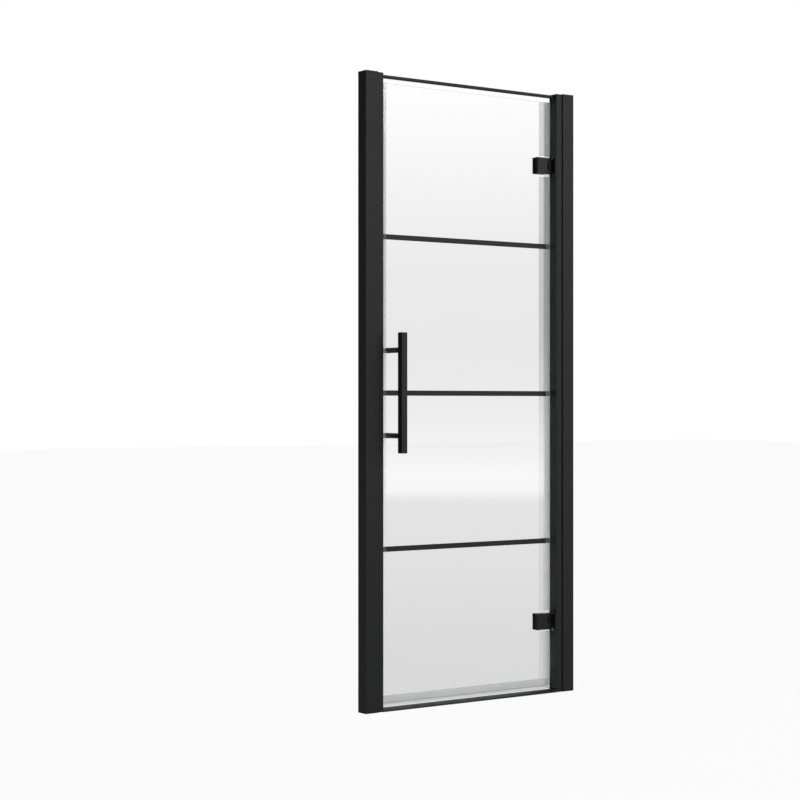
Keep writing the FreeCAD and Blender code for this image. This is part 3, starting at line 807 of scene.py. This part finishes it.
@dataclass
class Seals:
    """Clear seals round the leaf, and the magnet profile on the strike jamb."""

    door: Door
    wall: float = 1.1 * MM
    corner: float = 1.0 * MM
    lip_wall: float = 0.8 * MM
    lip_steps: int = 8
    lip_end: float = -10.0
    wiper_end: float = -68.0
    front_leg: float = 16.0 * MM
    milky_leg: float = 19.0 * MM
    edge_radius: float = 0.2 * MM
    edge_angle: float = 60.0

    def build(self) -> None:
        """Build every seal."""
        self.build_strike_seal()
        for part in ("top", "middle", "bottom"):
            self.build_hinge_seal("hinge_seal_" + part)
        self.build_bottom_seal()
        self.door.soften("jamb_magnet_holder", "frame", Finish.BLACK_SEAL, self.edge_radius)
        self.door.keep("jamb_magnet_strip", Finish.MAGNET)
        self.door.keep("strike_seal_magnet", Finish.MAGNET)

    def build_strike_seal(self) -> None:
        """Ease the seal on the leaf's free edge, which has two legs and the magnet's tube."""
        self.door.soften("strike_seal", "door", Finish.CLEAR_FILM, self.edge_radius)

    def build_hinge_seal(self, node: str) -> None:
        """Model one length of the seal on the hinged edge: two legs, a web and a curved lip.

        Args:
            node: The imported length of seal.
        """
        low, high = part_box(node)
        _, glass_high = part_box("door_glass")
        half = self.wall / 2
        front, back = low.y + half, high.y - half
        web_x = glass_high.x + half
        bend = self.corner
        front_path = [(glass_high.x - self.front_leg, front)]
        front_path += arc((web_x - bend, front + bend), bend, -90, 0)
        front_path += [(web_x, (front + back) / 2)]
        grip = ribbon(node + "_grip", front_path, low.z, high.z, self.wall)
        back_path = [(web_x, (front + back) / 2)]
        back_path += arc((web_x - bend, back - bend), bend, 0, 90)
        milky_end = (glass_high.x - self.milky_leg, back)
        foot = ribbon(node + "_foot", back_path + [milky_end], low.z, high.z, self.wall)
        film = ribbon(node + "_film", [milky_end, (low.x, back)], low.z, high.z, self.wall)
        reach = high.x - self.lip_wall / 2 - web_x
        lip_path = [(web_x, front + bend)]
        lip_path += arc((web_x, front + bend + reach), reach, -90, self.lip_end, self.lip_steps)[1:]
        lip = ribbon(node + "_lip", lip_path, low.z, high.z, self.lip_wall)
        for part, finish in (
            (grip, Finish.CLEAR_FILM), (film, Finish.CLEAR_FILM),
            (foot, Finish.CLEAR_EDGE), (lip, Finish.CLEAR_EDGE),
        ):
            round_edges(part, self.edge_radius, 2, self.edge_angle)
            part.data.materials.append(finish.material)
        seal = join_pieces(node + "_profile", [grip, film, foot, lip])
        self.door.place(seal, "door", node)

    def build_bottom_seal(self) -> None:
        """Model the seal under the leaf: two legs round the glass and a curved wiper."""
        low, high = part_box("bottom_seal")
        glass_low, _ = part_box("door_glass")
        half = self.wall / 2
        front, back = low.y + half, high.y - half
        web_z = glass_low.z - half
        bend = self.corner
        path = [(front, high.z)]
        path += arc((front + bend, web_z + bend), bend, 180, 270)
        path += arc((back - bend, web_z + bend), bend, 270, 360)
        path += [(back, high.z)]
        grip = ribbon("bottom_seal_grip", path, low.x, high.x, self.wall, lengthways=True)
        middle = (front + back) / 2
        drop = web_z - low.z
        wiper_path = arc((middle - drop, web_z), drop, 0, self.wiper_end, self.lip_steps)
        wiper = ribbon("bottom_seal_wiper", wiper_path, low.x, high.x, self.lip_wall, lengthways=True)
        for part in (grip, wiper):
            round_edges(part, self.edge_radius, 2, self.edge_angle)
        seal = join_pieces("bottom_seal_profile", [grip, wiper])
        dress(seal, Finish.CLEAR_SEAL)
        self.door.place(seal, "door", "bottom_seal")


@dataclass
class Hinge:
    """One of the two hinges that clamp the leaf and turn on the hinge jamb."""

    door: Door
    level: str
    edge_radius: float = 0.5 * MM
    plate_radius: float = 0.35 * MM

    def build(self) -> None:
        """Build the hinge."""
        prefix = self.level + "_hinge_"
        self.door.soften(prefix + "front_block", "door", Finish.HINGE, self.edge_radius)
        self.door.soften(prefix + "inner_plate", "door", Finish.HINGE, self.plate_radius)
        self.door.soften(prefix + "jamb_plate", "frame", Finish.HINGE, self.plate_radius)
        self.door.keep(prefix + "front_gasket", Finish.GASKET)
        self.door.keep(prefix + "inner_gasket", Finish.GASKET)
        self.door.keep(prefix + "bushes", Finish.NYLON)
        self.door.keep(prefix + "glass_sleeves", Finish.NYLON)
        # The pin gets the painted-shade coat, darker than the hinge, standing in for the shadow in the gap
        # beside it.
        self.door.keep(prefix + "pin", Finish.KNUCKLE)
        for part in ("clamp_screws", "plate_screws", "backing_plate"):
            self.door.keep(prefix + part, Finish.STEEL)


@dataclass
class Handle:
    """Square bar on two collared standoffs, with its fixings through the glass."""

    door: Door
    bar_radius: float = 0.9 * MM
    plug_radius: float = 0.7 * MM
    plug_share: float = 0.4
    collar_ease: float = 0.4 * MM
    neck_length: float = 3.0 * MM
    neck_share: float = 0.965

    def build(self) -> None:
        """Build the handle."""
        self.build_bar()
        self.build_standoffs()
        for node in ("handle_front_washers", "handle_inner_washers", "handle_glass_sleeves"):
            self.door.keep(node, Finish.NYLON)
        self.door.keep("handle_studs", Finish.STEEL)
        self.door.soften("handle_inner_caps", "door", Finish.HANDLE, self.collar_ease)

    def build_bar(self) -> None:
        """Model the bar and its two end plugs."""
        low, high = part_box("handle_bar")
        bar = add_block("handle_bar_tube", low, high)
        round_edges(bar, self.bar_radius, 4)
        dress(bar, Finish.HANDLE)
        self.door.place(bar, "door", "handle_bar")
        _, plug_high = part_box("handle_end_plugs")
        lid = plug_high.z - high.z
        plugs = []
        for z0, z1 in ((low.z - lid, low.z), (high.z, high.z + lid)):
            plug = add_block("plug", Vector((low.x, low.y, z0)), Vector((high.x, high.y, z1)))
            round_edges(plug, min(self.plug_radius, lid * self.plug_share))
            plugs.append(plug)
        ends = join_pieces("handle_end_lids", plugs)
        dress(ends, Finish.CAP)
        self.door.place(ends, "door", "handle_end_plugs")

    def build_standoffs(self) -> None:
        """Turn the two standoffs, each with a collar at both ends."""
        low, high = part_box("handle_standoffs")
        bar_low, bar_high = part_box("handle_bar")
        collar = (high.x - low.x) / 2
        neck = collar * self.neck_share
        length = high.y - bar_high.y
        ease = self.collar_ease
        end = self.neck_length
        steps = [
            (0.0, collar - ease), (ease, collar), (end - ease, collar), (end, collar - ease), (end, neck),
            (length - end, neck), (length - end, collar - ease), (length - end + ease, collar),
            (length - ease, collar), (length, collar - ease),
        ]
        solids = [turned("standoff", Vector(((low.x + high.x) / 2, bar_high.y, z)), "Y", steps)
                  for z in (low.z + collar, high.z - collar)]
        pair = join_pieces("handle_standoff_pair", solids)
        dress(pair, Finish.HANDLE)
        self.door.place(pair, "door", "handle_standoffs")


# ---------------------------------------------------------------------------------- studio


class Room:
    """World around the door, put together from plain lights that depend on a ray's direction."""

    reach = 0.25
    white = (1.0, 1.0, 1.0, 1.0)

    def __init__(self, name: str) -> None:
        """Start an empty world and make it the scene's.

        Args:
            name: The world's name.
        """
        self.world = bpy.data.worlds.new(name)
        self.world.use_nodes = True
        bpy.context.scene.world = self.world
        self.tree = self.world.node_tree
        self.tree.nodes.clear()
        self.path = self.add("ShaderNodeLightPath")
        place = self.add("ShaderNodeTexCoord")
        self.direction = self.add("ShaderNodeSeparateXYZ")
        self.tree.links.new(place.outputs["Generated"], self.direction.inputs[0])

    def add(self, kind: str) -> bpy.types.Node:
        """Add a world node."""
        return self.tree.nodes.new(kind)

    def ray(self, kind: str) -> bpy.types.NodeSocket:
        """Whether a ray is of one kind."""
        return self.path.outputs[kind]

    def span(self, value: bpy.types.NodeSocket, source: Point, target: Point) -> bpy.types.NodeSocket:
        """Map a value from one range onto another, held at its ends.

        Args:
            value: The value to map.
            source: Range that it comes from.
            target: Range that it goes to.

        Returns:
            The mapped value.
        """
        node = self.add("ShaderNodeMapRange")
        for name, number in zip(("From Min", "From Max", "To Min", "To Max"), (*source, *target)):
            node.inputs[name].default_value = number
        self.tree.links.new(value, node.inputs["Value"])
        return node.outputs["Result"]

    def across(self, left: float, right: float, start: float = -1.0,
               end: float = 1.0) -> bpy.types.NodeSocket:
        """Level that changes from the strike side to the hinge side.

        Args:
            left: Level towards the strike side.
            right: Level towards the hinge side.
            start: X of the direction where the change starts.
            end: X of the direction where it ends.

        Returns:
            The level.
        """
        return self.span(self.direction.outputs["X"], (start, end), (left, right))

    def levels(self, stops: tuple[Point, ...]) -> bpy.types.NodeSocket:
        """Level that changes with a ray's rise.

        Args:
            stops: Rise and level of each stop, from the lowest rise to the highest.

        Returns:
            The level.
        """
        place = self.span(self.direction.outputs["Z"], (-self.reach, self.reach), (0.0, 1.0))
        node = self.add("ShaderNodeValToRGB")
        self.tree.links.new(place, node.inputs["Fac"])
        ramp = node.color_ramp
        ramp.elements.remove(ramp.elements[-1])
        for index, (rise, level) in enumerate(stops):
            spot = (rise + self.reach) / (2 * self.reach)
            element = ramp.elements[0] if index == 0 else ramp.elements.new(spot)
            element.position = spot
            element.color = (level, level, level, 1.0)
        return node.outputs["Color"]

    def light(self, level: bpy.types.NodeSocket | None) -> bpy.types.NodeSocket:
        """Make light of one level.

        Args:
            level: The level, or None for plain white.

        Returns:
            The light.
        """
        node = self.add("ShaderNodeBackground")
        node.inputs["Color"].default_value = self.white
        if level is not None:
            self.tree.links.new(level, node.inputs["Color"])
        return node.outputs[0]

    def blend(self, share: bpy.types.NodeSocket, first: bpy.types.NodeSocket,
              second: bpy.types.NodeSocket) -> bpy.types.NodeSocket:
        """Blend two lights.

        Args:
            share: Share of the second light.
            first: Light at 0.
            second: Light at 1.

        Returns:
            The blended light.
        """
        node = self.add("ShaderNodeMixShader")
        for index, socket in enumerate((share, first, second)):
            self.tree.links.new(socket, node.inputs[index])
        return node.outputs[0]

    def finish(self, light: bpy.types.NodeSocket) -> None:
        """Send the finished light out of the world."""
        self.tree.links.new(light, self.add("ShaderNodeOutputWorld").inputs["Surface"])


@dataclass
class Studio:
    """Camera, lamps, pale surroundings and floor."""

    camera_place: Vector = field(default_factory=lambda: Vector((-3.405, -4.483, 0.8901)))
    camera_turn: float = math.radians(-35.089)
    focal_pixels: float = 1876.5
    frame_pixels: float = 800.0
    horizon_row: float = 404.11
    sensor: float = 36.0
    far_clip: float = 200.0
    floor_size: float = 60.0
    floor_albedo: float = 0.8
    floor_roughness: float = 0.9
    floor_glow: float = 0.93
    key_place: Vector = field(default_factory=lambda: Vector((1.6, -3.6, 3.4)))
    key_aim: Vector = field(default_factory=lambda: Vector((0.0, 0.0, 0.95)))
    key_size: float = 2.4
    key_power: float = 60.0
    ambient_left: float = 0.25
    ambient_right: float = 0.75
    aside_start: float = -0.05
    aside_end: float = 0.25
    # Each stop: how steeply a ray rises, and how light the room is there.
    panels_ahead: tuple[Point, ...] = (
        (-0.25, 0.10), (-0.125, 0.25), (-0.083, 0.40), (-0.052, 0.47), (-0.046, 0.88), (-0.038, 0.94),
        (-0.024, 0.74), (0.0, 0.56), (0.03, 0.49), (0.07, 0.53), (0.11, 0.72), (0.16, 0.98), (0.25, 1.0),
    )
    panels_aside: tuple[Point, ...] = (
        (-0.25, 0.20), (-0.10, 0.25), (-0.03, 0.18), (0.0, 0.12), (0.08, 0.05), (0.25, 0.06),
    )
    levels_through: tuple[Point, ...] = (
        (-0.25, 0.30), (-0.126, 0.33), (-0.083, 0.60), (-0.046, 0.95), (-0.03, 1.0), (-0.017, 0.93),
        (0.0, 0.75), (0.03, 0.50), (0.06, 0.40), (0.16, 0.37), (0.25, 0.4),
    )

    def build(self) -> None:
        """Build the studio."""
        self.add_camera()
        self.add_floor()
        self.add_world()
        self.add_key()
        bpy.context.scene.view_settings.view_transform = "Standard"

    def add_camera(self) -> None:
        """Stand the camera where the photograph was taken from, level."""
        deselect_all()
        bpy.ops.object.camera_add(location=self.camera_place, rotation=(math.pi / 2, 0.0, self.camera_turn))
        camera = bpy.context.object
        camera.name = "camera"
        camera.data.sensor_width = self.sensor
        camera.data.lens = self.sensor * self.focal_pixels / self.frame_pixels
        camera.data.shift_y = (self.horizon_row - self.frame_pixels / 2) / self.frame_pixels
        camera.data.clip_end = self.far_clip
        bpy.context.scene.camera = camera

    def add_floor(self) -> None:
        """Lay a pale floor that keeps the door's shadow and otherwise matches the background."""
        deselect_all()
        bpy.ops.mesh.primitive_plane_add(size=self.floor_size)
        floor = bpy.context.object
        floor.name = "floor"
        nodes = Nodes("floor_paint")
        nodes.shader.inputs["Base Color"].default_value = (self.floor_albedo,) * 3 + (1.0,)
        nodes.shader.inputs["Roughness"].default_value = self.floor_roughness
        nodes.shader.inputs["Specular IOR Level"].default_value = 0.0
        glow = nodes.add("ShaderNodeEmission")
        path = nodes.add("ShaderNodeLightPath")
        seen = nodes.add("ShaderNodeMath", operation="MAXIMUM")
        share = nodes.add("ShaderNodeMath", operation="MULTIPLY")
        share.inputs[1].default_value = self.floor_glow
        mix = nodes.add("ShaderNodeMixShader")
        nodes.link(path.outputs["Is Camera Ray"], seen.inputs[0])
        nodes.link(path.outputs["Is Transmission Ray"], seen.inputs[1])
        nodes.link(seen.outputs[0], share.inputs[0])
        nodes.link(share.outputs[0], mix.inputs[0])
        nodes.link(nodes.shader.outputs[0], mix.inputs[1])
        nodes.link(glow.outputs[0], mix.inputs[2])
        nodes.link(mix.outputs[0], nodes.tree.nodes["Material Output"].inputs["Surface"])
        floor.data.materials.append(nodes.material)
        floor.visible_glossy = False

    def add_world(self) -> None:
        """Surround the door with white for the eye and with soft studio panels for gloss."""
        room = Room("studio")
        ahead = room.light(room.levels(self.panels_ahead))
        aside = room.light(room.levels(self.panels_aside))
        through = room.light(room.levels(self.levels_through))
        ambient = room.light(room.across(self.ambient_left, self.ambient_right))
        white = room.light(None)
        gloss = room.blend(room.across(1.0, 0.0, self.aside_start, self.aside_end), ahead, aside)
        indirect = room.blend(room.ray("Is Glossy Ray"), ambient, gloss)
        clear = room.blend(room.ray("Is Transmission Ray"), indirect, through)
        room.finish(room.blend(room.ray("Is Camera Ray"), clear, white))

    def add_key(self) -> None:
        """Hang a square soft lamp in front and above, on the hinge side, facing the door's middle."""
        turn = (self.key_aim - self.key_place).to_track_quat("-Z", "Y").to_euler()
        deselect_all()
        bpy.ops.object.light_add(type="AREA", location=self.key_place, rotation=turn)
        lamp = bpy.context.object
        lamp.name = "key"
        lamp.data.shape = "SQUARE"
        lamp.data.size = self.key_size
        lamp.data.energy = self.key_power
        lamp.visible_glossy = False


def main() -> None:
    """Build the door's looks."""
    logging.basicConfig(level=logging.INFO, format="%(name)s: %(message)s")
    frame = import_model()
    Studio().build()
    door = Door(frame["nodes"])
    Posts(door).build()
    Rails(door).build()
    Leaf(door).build()
    Seals(door).build()
    Hinge(door, "upper").build()
    Hinge(door, "lower").build()
    Handle(door).build()
    LOG.info("%d pieces built", len(door.placed))


if __name__ == "__main__":
    main()
